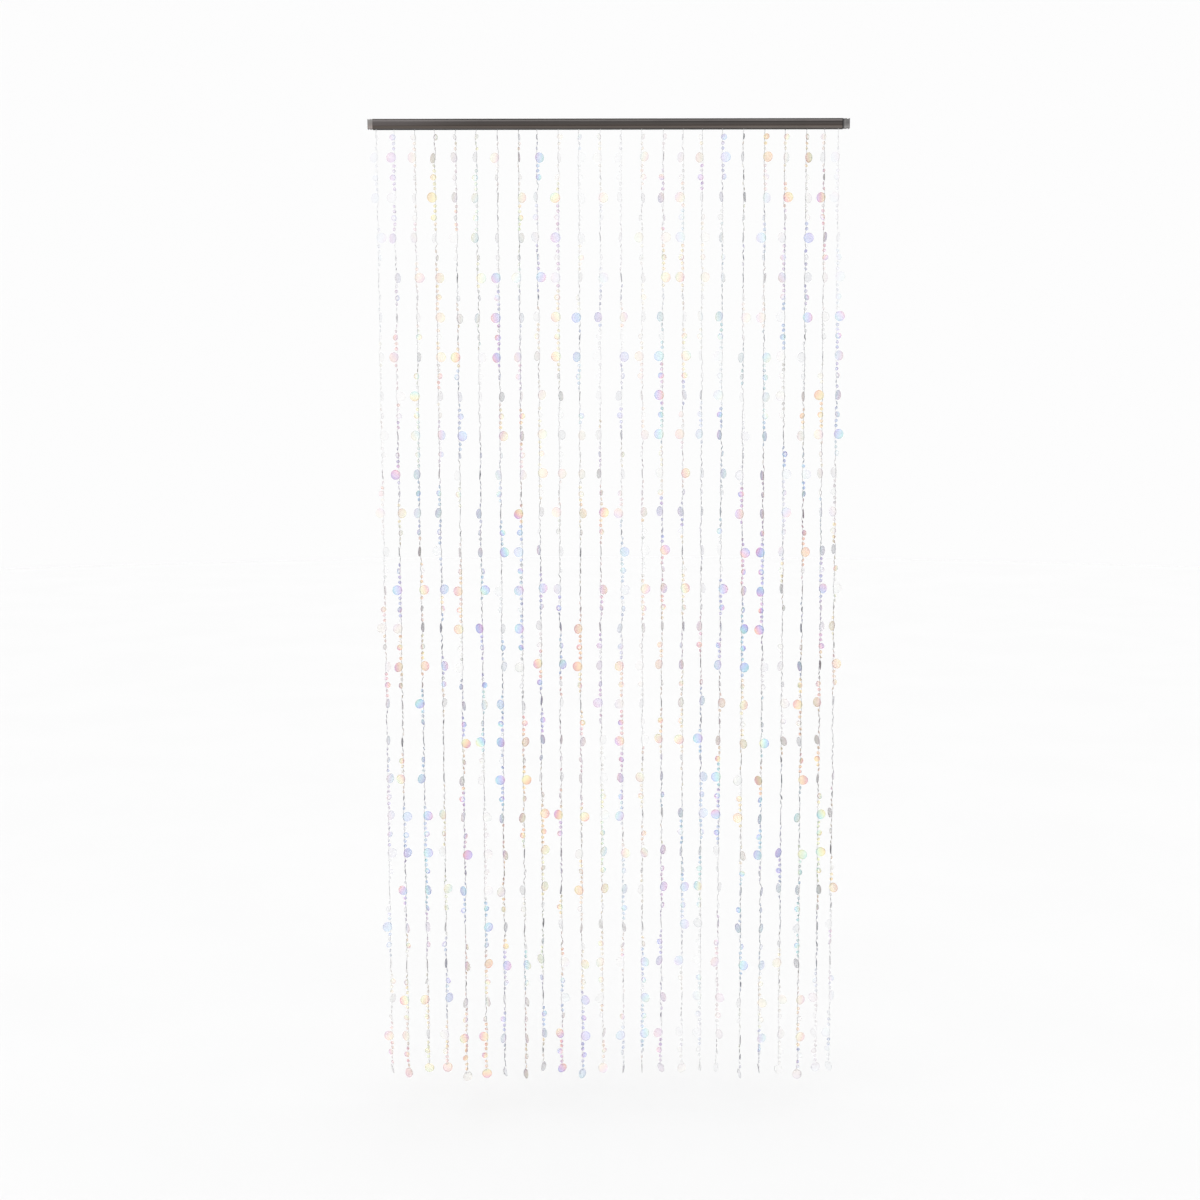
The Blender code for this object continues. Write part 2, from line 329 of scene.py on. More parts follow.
def disc_axes(item):
    a, p, r = (math.radians(item[k]) for k in ("yaw", "pitch", "droop"))
    u0 = np.array((math.cos(a), math.sin(a), 0.0))
    w0 = np.array((-math.sin(a), math.cos(a), 0.0))
    v0 = np.array((0.0, 0.0, 1.0))
    v1 = math.cos(p) * v0 + math.sin(p) * w0
    w1 = -math.sin(p) * v0 + math.cos(p) * w0
    return (math.cos(r) * u0 + math.sin(r) * v1,
            -math.sin(r) * u0 + math.cos(r) * v1, w1)


# ------------------------------------------------------------ colours of film
# Clear film with a pearly coating shows one family of colours along a run of
# a string, and shades into the next colour across a sequin.
TONES = (
    # tone, how often at the left, in the middle and at the right
    (0.00, 7, 5, 4), (0.05, 6, 6, 3), (0.10, 4, 6, 3), (0.21, 1, 1, 1), (0.41, 3, 1, 2),
    (0.50, 5, 3, 5), (0.57, 5, 3, 7), (0.66, 4, 3, 6), (0.78, 1, 2, 3), (0.90, 2, 2, 3),
)
# how strongly each string's film and thread show, and how that changes down it:
# the strings at the ends, in the middle and near the rail are the clearest
SHOW = (0.62, 0.92, 1.00, 1.04, 1.10, 1.06, 1.20, 1.26, 1.04, 0.94, 0.92, 0.76,
        0.68, 0.72, 0.88, 0.84, 0.94, 0.92, 1.06, 1.26, 1.30, 1.34, 1.22, 0.94)
SHOW_DOWN = ((0.0, 0.86), (500.0, 0.92), (800.0, 1.10), (1150.0, 1.32),
             (1600.0, 1.16), (2100.0, 0.95))
SHOW_TOP = {0: 0.22, 1: 0.55, 23: 0.45}    # share left at the rail, full at 750 mm
SHOW_FOOT = {12: 0.85, 15: 0.65, 16: 0.62, 17: 0.66, 18: 0.82, 19: 0.74, 20: 0.62,
             21: 0.85, 22: 0.52, 23: 0.62}     # share left at the foot, full at 1650 mm


def foot_at(string, depth):
    return np.interp(depth, (1650.0, 1950.0), (1.0, SHOW_FOOT.get(string, 1.0)))


def show_at(string, depth):
    share = SHOW[string] * np.interp(depth, *zip(*SHOW_DOWN)) * foot_at(string, depth)
    return share * np.interp(depth, (150.0, 750.0), (SHOW_TOP.get(string, 1.0), 1.0))


def film_runs(string):
    """Runs down a string: (end depth, tone, strength of tint, shift across, how
    much of the small sequins shows, how much of them all)."""
    rng = random.Random(900 + 13 * string.index)
    third = 1 + min(2, string.index // 8)
    runs, depth, tone = [], 20.0, 0.0
    while depth < 2120.0:
        depth += rng.choice((41.0, 62.0, 82.0, 103.0, 144.0, 185.0))
        if rng.random() < 0.65:
            tone = rng.choices([t[0] for t in TONES], [t[third] for t in TONES])[0]
        else:
            tone = (tone + rng.choice((-0.10, 0.08))) % 1.0
        pick = rng.random()
        tint = rng.uniform(0.24, 0.60) if pick > 0.08 else rng.uniform(0.0, 0.10)
        # in half of the runs the untinted small sequins are nearly bare film
        runs.append((depth, tone, tint, rng.choice((-1.0, 1.0)) * rng.uniform(0.05, 0.24),
                     rng.choice((0.85, 0.3)),
                     rng.choices((1.18, 0.5), (3, 2))[0] if depth < 950.0 else 1.0))
    return runs


def build_sequins(string, material):
    """All sequins of one string as one joined mesh."""
    rng = random.Random(7000 + 11 * string.index)
    runs = film_runs(string)
    points, tris, tone, tint, ring, dark, grey, show, spot = ([] for _ in range(9))
    count = 0
    for item in string.items + [string.end_item]:
        verts, faces, places = TEMPLATES[item["kind"]]
        d = SEQUINS[item["kind"]][0]
        local = verts.copy()
        if item["bend"]:
            c, s = math.cos(item["way"]), math.sin(item["way"])
            local[:, 2] += item["bend"] * (places[:, 0] * c + places[:, 1] * s) ** 2
        local[:, 2] *= item["face"]
        u, v, w = item.get("axes") or disc_axes(item)
        at = item["at"] if "at" in item else string.thread(item["depth"])
        world = at + local[:, :1] * u + local[:, 1:2] * v + local[:, 2:] * w
        points.append(world)
        turned = faces if item["face"] > 0 else faces[:, ::-1]
        tris.append(turned + count)
        count += len(verts)
        run = next(r for r in runs if item["depth"] < r[0])
        own = run[1] + rng.gauss(0.0, 0.03)
        strength = run[2] * rng.uniform(0.65, 1.25)
        strength *= float(np.interp(item["depth"], (500.0, 900.0), (1.0, 1.20)))
        if rng.random() < 0.11:
            strength *= 0.2
        strength *= (1.3 if item["kind"] == "small" else 1.0) \
            * foot_at(string.index, item["depth"]) ** 2.5
        strength = min(1.0, max(0.0, strength))
        lean = rng.gauss(0.0, 0.5)
        shift = run[3] * (0.4 if item["kind"] == "small" else 1.0)
        # how much of the tint stays out of the middle: cups are often paler there
        hollow = rng.choice({"large": (0.0, 0.0, 0.15), "medium": (0.0, 0.2, 0.3, 0.75),
                             "small": (0.0, 0.0, 0.4)}[item["kind"]])
        ring.append(np.full(len(verts), hollow))
        # sequins that hang across the curtain, nearly edge on to the front, get a darker film
        # colour, a painted shade; some others are of a smokier film at random
        across = abs(math.cos(math.radians(item["yaw"])))
        smoke_and_edge_shade = min(1.0, max(0.0, 1.7 - across / 0.14)) * rng.uniform(0.4, 0.8)
        if item["kind"] == "small":
            smoke_and_edge_shade = max(smoke_and_edge_shade, rng.choice((0.0, 0.2, 0.45)) * (1.0 - min(1.0, 2.2 * strength)))
        elif rng.random() < 0.3:
            smoke_and_edge_shade = max(smoke_and_edge_shade, 0.14 * (1.0 - min(1.0, 2.2 * strength)))
        dark.append(np.full(len(verts), smoke_and_edge_shade))
        # colour is greyed as a sequin turns across, warm colours more than cool ones: painted shade
        # for how turned film looks under the studio light; small ones also take some grey at random
        warm = 1.0 if 0.04 < own % 1.0 < 0.28 else 0.85 if own % 1.0 < 0.45 else 0.7
        dull = warm * rng.uniform(0.65, 1.0) * min(1.0, max(0.0, (0.84 - across) / 0.36))
        rosy = own % 1.0 < 0.30 or own % 1.0 > 0.84
        if item["kind"] == "small":
            dull = min(dull, 0.18) if rosy else max(dull, rng.uniform(0.1, 0.4))
        grey.append(np.full(len(verts), dull))
        # untinted film can be so clear that it hardly shows
        veil = run[4] if item["kind"] == "small" else rng.choice((0.4, 0.7, 1.0))
        veil += (1.0 - veil) * min(1.0, 2.2 * strength)
        veil *= {"large": 1.0, "medium": 1.12, "small": 0.95 if rosy else 1.2}[item["kind"]]
        veil *= run[5] * float(np.interp(across, (0.15, 0.32, 0.68, 0.90), (1.0, 0.82, 0.86, 1.0)))
        show.append(np.full(len(verts), veil * float(show_at(string.index, item["depth"]))))
        along = places[:, 0] * math.cos(lean) + places[:, 1] * math.sin(lean)
        tone.append(own + shift * along + 4.0)
        tint.append(np.full(len(verts), strength))
        spot.append(places)
    points, tris = np.vstack(points) * MM, np.vstack(tris)
    name = "sequins_%02d" % (string.index + 1)
    me = bpy.data.meshes.new(name)
    me.from_pydata(points.tolist(), [], tris.tolist())
    me.polygons.foreach_set("use_smooth", np.ones(len(tris), bool))
    me.set_sharp_from_angle(angle=math.radians(50.0))
    for key, kind, values in (("film_tone", "FLOAT", np.concatenate(tone)),
                              ("film_tint", "FLOAT", np.concatenate(tint)),
                              ("film_ring", "FLOAT", np.concatenate(ring)),
                              ("film_dark", "FLOAT", np.concatenate(dark)),
                              ("film_grey", "FLOAT", np.concatenate(grey)),
                              ("film_show", "FLOAT", np.concatenate(show)),
                              ("film_spot", "FLOAT_VECTOR", np.vstack(spot))):
        layer = me.attributes.new(key, kind, "POINT")
        layer.data.foreach_set("vector" if kind == "FLOAT_VECTOR" else "value",
                               values.astype(np.float32).ravel())
    me.materials.append(material)
    ob = bpy.data.objects.new(name, me)
    bpy.context.scene.collection.objects.link(ob)
    return ob


# ------------------------------------------------------------------ the thread
def thread_route(string):
    """Points down a thread, mm, woven through the sequins' stitch holes, and
    the tail that it leaves beside the last sequin."""
    ways = [(STRIP_BOTTOM * -1.0 - 1.0, 0.0, 0.0), (24.0, 0.0, 0.0)]
    for it in string.items:
        d, stitch, _, hole_v, _, film = SEQUINS[it["kind"]]
        off = d / 2.0 - stitch
        chord = math.sqrt((d / 2.0) ** 2 - off ** 2)
        clear = film / 2.0 + THREAD_D / 2.0 + 0.06
        lean = math.sin(math.radians(it["pitch"]))
        base = float(cup_height(it["kind"], math.hypot(off, hole_v)))

        def film_at(v):
            return it["face"] * (float(cup_height(it["kind"], math.hypot(off, v))) - base) \
                + v * lean
        if hole_v:
            rows = ((chord, -clear), (hole_v, 0.0), (0.0, clear), (-hole_v, 0.0),
                    (-chord, -clear))
        else:
            rows = ((chord * 0.9, it["side"] * clear), (0.0, 0.0),
                    (-chord * 0.9, -it["side"] * clear))
        for v, out in rows:
            ways.append((it["depth"] - v, film_at(v) + out, it["yaw"]))
    ways.sort(key=lambda w: w[0])
    d = np.array([w[0] for w in ways])
    keep = np.concatenate([[True], np.diff(d) > 0.4])
    ways = [w for w, k in zip(ways, keep) if k]
    d = np.array([w[0] for w in ways])
    ax = np.array([-math.sin(math.radians(w[2])) * w[1] for w in ways])
    ay = np.array([math.cos(math.radians(w[2])) * w[1] for w in ways])
    q = [d[0]]
    for a, b in zip(d, d[1:]):
        n = max(1, round((b - a) / 2.6))
        q += [a + (b - a) * k / n for k in range(1, n + 1)]
    q = np.array(q)
    centre = string.thread(q)
    centre[:, 0] += smooth(d, ax, q)
    centre[:, 1] += smooth(d, ay, q)
    tail = string.tail_points(centre[-1])
    return np.vstack([centre, tail])


def end_of_string(string):
    """The last large sequin hangs from the thread's end by its stitched edge,
    a little crooked, and the end of the thread lies down beside it."""
    rng = random.Random(300 + string.index)
    last = last_depth(string.index)
    a = math.radians(string.turns[-1])
    side = np.array((math.cos(a), math.sin(a), 0.0))
    normal = np.array((-math.sin(a), math.cos(a), 0.0))
    down = np.array((0.0, 0.0, -1.0))
    crook = math.radians(rng.choice((-1, 1)) * rng.uniform(4.0, 34.0))
    nod = math.radians(rng.uniform(-12.0, 12.0))
    u = math.cos(crook) * down + math.sin(crook) * side
    v = math.cos(crook) * side - math.sin(crook) * down
    u, w = math.cos(nod) * u + math.sin(nod) * normal, \
        math.cos(nod) * normal - math.sin(nod) * u
    v = np.cross(w, u)
    centre = np.array((place_at(string.index, last), 0.0, -last))
    stitch = centre - u * STITCH_OFF
    string.end_item = {"kind": "large", "depth": last, "yaw": string.turns[-1],
                       "pitch": 0.0, "droop": 0.0, "face": rng.choice((-1.0, 1.0)),
                       "bend": rng.uniform(-0.6, 0.6), "way": rng.uniform(0, 3.1),
                       "at": stitch, "axes": (u, v, w)}
    to = rng.choice((-1.0, 1.0))
    first, second = stitch - v * STITCH_HALF * to, stitch + v * STITCH_HALF * to
    front = -w * 0.75
    reach = rng.uniform(0.55, 1.0)

    def tail_points(start):
        way = [start, (start + first) / 2.0 + front * 1.2 + np.array((0, 0, 1.2)),
               first, stitch - front, second]
        for k in range(1, 6):
            t = k / 5.0 * reach
            ang = math.radians(-62.0 + 105.0 * t) * to
            rim = centre + (v * math.cos(ang) * to + u * math.sin(ang) * to) * (10.5 - 2.2 * t)
            way.append(rim + front * (1.0 + 0.9 * math.sin(math.pi * t)))
        way = np.array(way)
        # a smooth curve through them, a point every 2 mm or so
        along = np.concatenate([[0.0], np.cumsum(np.linalg.norm(np.diff(way, axis=0), axis=1))])
        q = np.linspace(0.0, along[-1], max(8, int(along[-1] / 1.8)))[1:]
        return np.stack([smooth(along, way[:, k], q) for k in range(3)], axis=-1)
    string.tail_points = tail_points


def tube(route, radii, sides):
    """A closed tube along a route that runs mainly down: points and faces, and
    for each point how far along (mm) and how far round (share) it is."""
    ahead = np.gradient(route, axis=0)
    ahead /= np.linalg.norm(ahead, axis=1)[:, None]
    side = np.cross(ahead, np.array((0.0, 1.0, 0.0)))
    side /= np.maximum(np.linalg.norm(side, axis=1), 1e-9)[:, None]
    up = np.cross(side, ahead)
    along = np.concatenate([[0.0], np.cumsum(np.linalg.norm(np.diff(route, axis=0), axis=1))])
    angle = 2 * math.pi * np.arange(sides) / sides
    ring = route[:, None, :] + radii[:, None, None] * (
        side[:, None, :] * np.cos(angle)[None, :, None]
        + up[:, None, :] * np.sin(angle)[None, :, None])
    points = ring.reshape(-1, 3)
    faces = []
    for k in range(len(route) - 1):
        a, b = k * sides, (k + 1) * sides
        for j in range(sides):
            m = (j + 1) % sides
            faces.append((a + j, a + m, b + m, b + j))
    faces.append(tuple(range(sides))[::-1])
    faces.append(tuple(range((len(route) - 1) * sides, len(route) * sides)))
    return points, faces, np.repeat(along, sides), np.tile(np.arange(sides) / sides, len(route))


def build_thread(string, material):
    route = thread_route(string)
    n = len(route)
    along = np.concatenate([[0.0], np.cumsum(np.linalg.norm(np.diff(route, axis=0), axis=1))])
    radii = np.full(n, THREAD_D / 2.0)
    # a knot under the heading strip, and one that stops the end
    radii += 0.75 * np.exp(-((along - 2.6) / 1.3) ** 2)
    radii += 0.62 * np.exp(-((along - along[-1] + 2.2) / 1.1) ** 2)
    radii[-1] *= 0.6
    points, faces, far, around = tube(route, radii, 5)
    name = "thread_%02d" % (string.index + 1)
    me = bpy.data.meshes.new(name)
    me.from_pydata((points * MM).tolist(), [], faces)
    bm = bmesh.new()
    bm.from_mesh(me)
    bmesh.ops.recalc_face_normals(bm, faces=bm.faces)
    bm.to_mesh(me)
    bm.free()
    me.polygons.foreach_set("use_smooth", np.ones(len(me.polygons), bool))
    pale = np.clip(1.9 * (1.12 - show_at(string.index, -route[:, 2])), 0.0, 0.95)
    for key, values in (("yarn_along", far), ("yarn_round", around),
                        ("yarn_pale", np.repeat(pale, 5))):
        layer = me.attributes.new(key, "FLOAT", "POINT")
        layer.data.foreach_set("value", values.astype(np.float32))
    me.materials.append(material)
    ob = bpy.data.objects.new(name, me)
    bpy.context.scene.collection.objects.link(ob)
    return ob, route * MM, along[-1] * MM


# ------------------------------------------------------------------- materials
class Nodes:
    """Short names for building a material's nodes."""

    def __init__(self, name):
        self.mat = bpy.data.materials.new(name)
        self.mat.use_nodes = True
        self.tree = self.mat.node_tree
        self.bsdf = self.tree.nodes["Principled BSDF"]
        self.count = 0

    def node(self, kind, **settings):
        n = self.tree.nodes.new(kind)
        for key, value in settings.items():
            setattr(n, key, value)
        self.count += 1
        n.location = (-220 * (self.count % 9) - 300, -200 * (self.count // 9))
        return n

    def put(self, socket, value):
        if isinstance(value, bpy.types.NodeSocket):
            self.tree.links.new(value, socket)
        else:
            socket.default_value = value

    def set(self, **sockets):
        for key, value in sockets.items():
            self.put(self.bsdf.inputs[key.replace("_", " ")], value)

    def attribute(self, name, vector=False):
        n = self.node("ShaderNodeAttribute", attribute_name=name)
        return n.outputs["Vector" if vector else "Fac"]

    def math(self, operation, a, b=0.0, c=0.0, clamp=False):
        n = self.node("ShaderNodeMath", operation=operation, use_clamp=clamp)
        for socket, value in zip(n.inputs, (a, b, c)):
            self.put(socket, value)
        return n.outputs[0]

    def span(self, value, low, high, to_low=0.0, to_high=1.0, soft=True):
        n = self.node("ShaderNodeMapRange",
                      interpolation_type="SMOOTHSTEP" if soft else "LINEAR")
        for socket, v in zip(n.inputs[:5], (value, low, high, to_low, to_high)):
            self.put(socket, v)
        return n.outputs[0]

    def split(self, vector):
        n = self.node("ShaderNodeSeparateXYZ")
        self.put(n.inputs[0], vector)
        return n.outputs

    def join(self, x, y, z):
        n = self.node("ShaderNodeCombineXYZ")
        for socket, v in zip(n.inputs, (x, y, z)):
            self.put(socket, v)
        return n.outputs[0]

    def place(self, scale=(1.0, 1.0, 1.0)):
        """Object coordinates, scaled."""
        n = self.node("ShaderNodeTexCoord")
        m = self.node("ShaderNodeMapping")
        self.put(m.inputs["Vector"], n.outputs["Object"])
        m.inputs["Scale"].default_value = scale
        return m.outputs[0]

    def noise(self, vector, scale, detail=2.0, rough=0.5):
        n = self.node("ShaderNodeTexNoise")
        self.put(n.inputs["Vector"], vector)
        n.inputs["Scale"].default_value = scale
        n.inputs["Detail"].default_value = detail
        n.inputs["Roughness"].default_value = rough
        return n.outputs[0]

    def ramp(self, value, stops, soft="LINEAR"):
        n = self.node("ShaderNodeValToRGB")
        n.color_ramp.interpolation = soft
        while len(n.color_ramp.elements) < len(stops):
            n.color_ramp.elements.new(0.5)
        for e, (at, color) in zip(n.color_ramp.elements, stops):
            e.position = at
            e.color = (*color, 1.0)
        self.put(n.inputs[0], value)
        return n.outputs[0]

    def mix(self, share, a, b, blend="MIX"):
        n = self.node("ShaderNodeMix", data_type="RGBA", blend_type=blend)
        self.put(n.inputs["Factor"], share)
        for key, v in (("A", a), ("B", b)):
            s = [i for i in n.inputs if i.name == key and i.type == "RGBA"][0]
            self.put(s, (*v, 1.0) if isinstance(v, tuple) and len(v) == 3 else v)
        return [o for o in n.outputs if o.type == "RGBA"][0]

    def bump(self, height, distance, strength=1.0):
        n = self.node("ShaderNodeBump")
        n.inputs["Strength"].default_value = strength
        n.inputs["Distance"].default_value = distance
        self.put(n.inputs["Height"], height)
        return n.outputs[0]


PEARL = (
    # place, colour of light that the coated film sends on (linear)
    (0.00, (0.95, 0.65, 0.49)),     # orange
    (0.12, (0.95, 0.83, 0.55)),     # yellow
    (0.22, (0.86, 0.88, 0.64)),     # yellow green
    (0.31, (0.70, 0.85, 0.80)),     # mint
    (0.41, (0.48, 0.78, 0.84)),     # aqua
    (0.52, (0.50, 0.66, 0.91)),     # sky blue
    (0.66, (0.55, 0.51, 0.87)),     # lavender
    (0.79, (0.75, 0.45, 0.76)),     # pink violet
    (0.90, (0.87, 0.48, 0.54)),     # rose
    (1.00, (0.95, 0.65, 0.49)),
)


def film_material():
    m = Nodes("sequin_film")
    tone, tint, ring, dark, grey, show = (
        m.attribute("film_" + k) for k in ("tone", "tint", "ring", "dark", "grey", "show"))
    u, v, _ = m.split(m.attribute("film_spot", vector=True))
    radius = m.math("SQRT", m.math("ADD", m.math("MULTIPLY", u, u), m.math("MULTIPLY", v, v)))
    rim = m.span(radius, 0.80, 0.95)
    middle = m.span(radius, 0.35, 0.70, 1.0, 0.0)
    cloud = m.noise(m.place(), 95.0, 2.0)
    fine = m.noise(m.place(), 900.0, 2.0)
    tone = m.math("ADD", tone, m.math("MULTIPLY", m.math("SUBTRACT", cloud, 0.5), 0.08))
    pearl = m.ramp(m.math("FRACT", tone), PEARL)
    colour = m.mix(m.span(tint, 0.0, 0.28, 0.0, 1.0, soft=False), (0.82, 0.82, 0.85), pearl)
    # film_grey greys the colour: painted shade on sequins turned across, and some random grey on
    # small ones
    colour = m.mix(grey, colour, (0.60, 0.60, 0.65))
    # film_dark darkens the colour: painted shade on sequins seen edge on, and smokier film on some
    # others
    colour = m.mix(dark, colour, (0.10, 0.10, 0.115))
    # the rim is darkened to a deeper shade of the film's own colour: a painted edge shade
    deep = m.mix(1.0, colour, m.mix(0.30, colour, (0.50, 0.48, 0.54)), blend="MULTIPLY")
    colour = m.mix(m.math("MULTIPLY", rim, 0.50), colour, deep)
    edge_on = m.node("ShaderNodeLayerWeight")
    edge_on.inputs["Blend"].default_value = 0.5
    alpha = m.math("ADD", m.math("MULTIPLY", tint, 0.52), 0.11)
    alpha = m.math("ADD", alpha, m.math("MULTIPLY", dark, 0.40))
    alpha = m.math("MULTIPLY", alpha,
                   m.math("SUBTRACT", 1.0, m.math("MULTIPLY", ring, middle)))
    alpha = m.math("ADD", alpha, m.math("MULTIPLY", rim, m.math(
        "ADD", m.math("MULTIPLY", tint, 0.12), 0.04)))
    alpha = m.math("ADD", alpha, m.math("MULTIPLY", m.math("SUBTRACT", cloud, 0.5), 0.05),
                   clamp=True)
    alpha = m.math("MAXIMUM", alpha, m.span(edge_on.outputs["Facing"], 0.60, 0.95, 0.0, 0.75))
    alpha = m.math("MULTIPLY", alpha, show, clamp=True)
    m.set(Base_Color=colour, Alpha=alpha, Roughness=m.span(fine, 0.3, 0.7, 0.16, 0.28),
          Normal=m.bump(fine, 0.00008, 0.35))
    m.bsdf.inputs["Metallic"].default_value = 0.0
    m.bsdf.inputs["IOR"].default_value = 1.46
    m.bsdf.inputs["Thin Film Thickness"].default_value = 430.0
    m.bsdf.inputs["Thin Film IOR"].default_value = 1.62
    return m.mat


def thread_material():
    m = Nodes("polyester_thread")
    along, around = m.attribute("yarn_along"), m.attribute("yarn_round")
    lay = m.math("ADD", m.math("MULTIPLY", along, 0.55), m.math("MULTIPLY", around, 1.0))
    ply = m.math("SINE", m.math("MULTIPLY", lay, 2.0 * math.pi * 2.0))
    ply = m.span(ply, -1.0, 1.0)
    fuzz = m.noise(m.place(), 420.0, 3.0)
    worn = m.noise(m.place((1.0, 1.0, 0.55)), 60.0, 2.0)
    colour = m.mix(ply, (0.155, 0.15, 0.165), (0.32, 0.315, 0.33))
    colour = m.mix(m.math("MULTIPLY", m.span(fuzz, 0.35, 0.7), 0.5), colour, (0.32, 0.315, 0.33))
    colour = m.mix(m.span(worn, 0.45, 0.58, 0.0, 0.55), colour, (0.58, 0.575, 0.59))
    colour = m.mix(m.attribute("yarn_pale"), colour, (0.80, 0.80, 0.805))
    m.set(Base_Color=colour, Metallic=0.0, Roughness=m.span(fuzz, 0.3, 0.7, 0.6, 0.8),
          Normal=m.bump(ply, 0.00012, 0.7))
    return m.mat


def rail_material():
    """Dark bronze anodised extrusion, drawn along its length."""
    m = Nodes("bronze_anodised")
    x, y, z = m.split(m.place())
    grain = m.noise(m.place((2.0, 700.0, 700.0)), 1.0, 4.0, 0.6)
    long_grain = m.noise(m.place((0.8, 160.0, 160.0)), 1.0, 2.0)
    cloud = m.noise(m.place(), 14.0, 3.0)
    down = m.math("MULTIPLY", z, -1.0 / (RAIL_HEIGHT * MM))
    # lighter and darker bands down the face are painted light and shade of the profile: a dark line
    # at the top edge, a lit ridge, a shaded groove, the low band and a lit lower lip
    bands = m.ramp(down, (
        (0.00, (0.026, 0.023, 0.021)), (0.085, (0.036, 0.032, 0.030)),
        (0.115, (0.128, 0.117, 0.112)), (0.25, (0.110, 0.099, 0.094)),
        (0.30, (0.040, 0.034, 0.032)), (0.45, (0.062, 0.054, 0.050)),
        (0.70, (0.054, 0.041, 0.034)), (0.75, (0.082, 0.066, 0.055)),
        (0.90, (0.084, 0.069, 0.059)), (0.955, (0.105, 0.093, 0.085)),
        (1.00, (0.070, 0.062, 0.058))))
    colour = m.mix(m.math("MULTIPLY", m.span(grain, 0.35, 0.65), 0.22), bands,
                   (0.100, 0.087, 0.080))
    # the top ridge catches more light near both ends, and is broader to the left
    ridge = m.math("MULTIPLY", m.span(down, 0.09, 0.12), m.math(
        "SUBTRACT", 1.0, m.span(m.math("ADD", down, m.span(x, 0.0, 0.3, 0.0, 0.09)), 0.30, 0.36)))
    ends = m.math("MAXIMUM", m.span(x, -0.45, -0.2, 0.60, 0.25), m.span(x, 0.1, 0.34, 0.0, 0.55))
    colour = m.mix(m.math("MULTIPLY", ridge, ends), colour, (0.215, 0.196, 0.190))
    # paler and a little pinker towards the left end, above the low band: a painted highlight
    pale = m.math("MULTIPLY", m.span(x, -0.5, -0.26, 0.30, 0.0),
                  m.span(down, 0.64, 0.74, 1.0, 0.0))
    colour = m.mix(pale, colour, (0.190, 0.166, 0.166))
    # the low band lighter towards the right: a painted highlight
    low = m.math("MULTIPLY", m.span(x, 0.1, 0.4, 0.0, 0.35), m.span(down, 0.76, 0.84))
    colour = m.mix(low, colour, (0.165, 0.148, 0.132))
    # a bright line along the low band, clearer to the right: a painted highlight
    line = m.math("MULTIPLY", m.span(x, -0.1, 0.45, 0.15, 0.75),
                  m.math("MULTIPLY", m.span(down, 0.735, 0.76), m.span(down, 0.79, 0.815, 1.0, 0.0)))
    colour = m.mix(line, colour, (0.190, 0.158, 0.138))
    colour = m.mix(m.math("MULTIPLY", m.span(cloud, 0.45, 0.75), 0.15), colour,
                   (0.045, 0.038, 0.035))
    # shadowed close to the right plug
    colour = m.mix(m.span(x, 0.4838, 0.4848, 0.0, 0.85), colour, (0.018, 0.016, 0.015))
    rough = m.math("ADD", m.span(grain, 0.3, 0.7, 0.32, 0.44),
                   m.span(long_grain, 0.3, 0.7, -0.03, 0.05))
    m.set(Base_Color=colour, Roughness=rough, Normal=m.bump(grain, 0.00004, 0.3))
    m.bsdf.inputs["Metallic"].default_value = 0.72
    return m.mat


def plug_material():
    """Moulded plastic with a fine upright grain; the left plug is the paler one."""
    m = Nodes("moulded_plug")
    x, y, z = m.split(m.place())
    cloud = m.noise(m.place(), 70.0, 3.0)
    grain = m.noise(m.place(), 2600.0, 2.0)
    upright = m.noise(m.place((900.0, 260.0, 16.0)), 1.0, 3.0)
    down = m.math("MULTIPLY", z, -1.0 / (RAIL_HEIGHT * MM))
    left = m.ramp(down, ((0.0, (0.29, 0.28, 0.27)), (0.4, (0.235, 0.215, 0.205)),
                         (0.62, (0.27, 0.235, 0.22)), (0.82, (0.35, 0.285, 0.26)),
                         (1.0, (0.33, 0.30, 0.29))))
    right = m.ramp(down, ((0.0, (0.105, 0.10, 0.097)), (0.5, (0.10, 0.095, 0.092)),
                          (0.7, (0.165, 0.155, 0.15)), (0.87, (0.26, 0.25, 0.24)),
                          (1.0, (0.32, 0.31, 0.30))))
    colour = m.mix(m.math("GREATER_THAN", x, 0.0), left, right)
    colour = m.mix(m.span(upright, 0.42, 0.62, 0.0, 0.45), colour, (0.12, 0.115, 0.11))
    colour = m.mix(m.math("MULTIPLY", m.span(cloud, 0.4, 0.7), 0.25), colour,
                   (0.36, 0.35, 0.34))
    # darker round the outermost edge
    outer = m.span(m.math("ABSOLUTE", x), 0.4978, 0.4992, 0.0, 0.55)
    colour = m.mix(outer, colour, (0.075, 0.072, 0.070))
    # shadowed where the right plug leaves the rail
    colour = m.mix(m.math("MULTIPLY", m.span(x, 0.4855, 0.4858),
                          m.span(x, 0.4880, 0.4890, 0.85, 0.0)), colour, (0.035, 0.033, 0.032))
    m.set(Base_Color=colour, Roughness=m.span(grain, 0.3, 0.7, 0.42, 0.58),
          Normal=m.bump(grain, 0.00004, 0.3))
    m.bsdf.inputs["Subsurface Weight"].default_value = 0.12
    m.bsdf.inputs["Subsurface Radius"].default_value = (0.003, 0.0025, 0.002)
    return m.mat


def strip_material():
    m = Nodes("heading_tape")
    x, y, z = m.split(m.place())
    warp = m.math("SINE", m.math("MULTIPLY", y, 2 * math.pi / 0.0007))
    weft = m.math("SINE", m.math("MULTIPLY", x, 2 * math.pi / 0.0009))
    weave = m.span(m.math("MULTIPLY", warp, weft), -0.8, 0.8)
    cloud = m.noise(m.place(), 160.0, 2.0)
    colour = m.mix(weave, (0.42, 0.41, 0.42), (0.62, 0.61, 0.62))
    colour = m.mix(m.math("MULTIPLY", m.span(cloud, 0.4, 0.7), 0.3), colour, (0.50, 0.49, 0.50))
    m.set(Base_Color=colour, Roughness=m.span(weave, 0.0, 1.0, 0.7, 0.85),
          Normal=m.bump(weave, 0.0001, 0.8))
    return m.mat


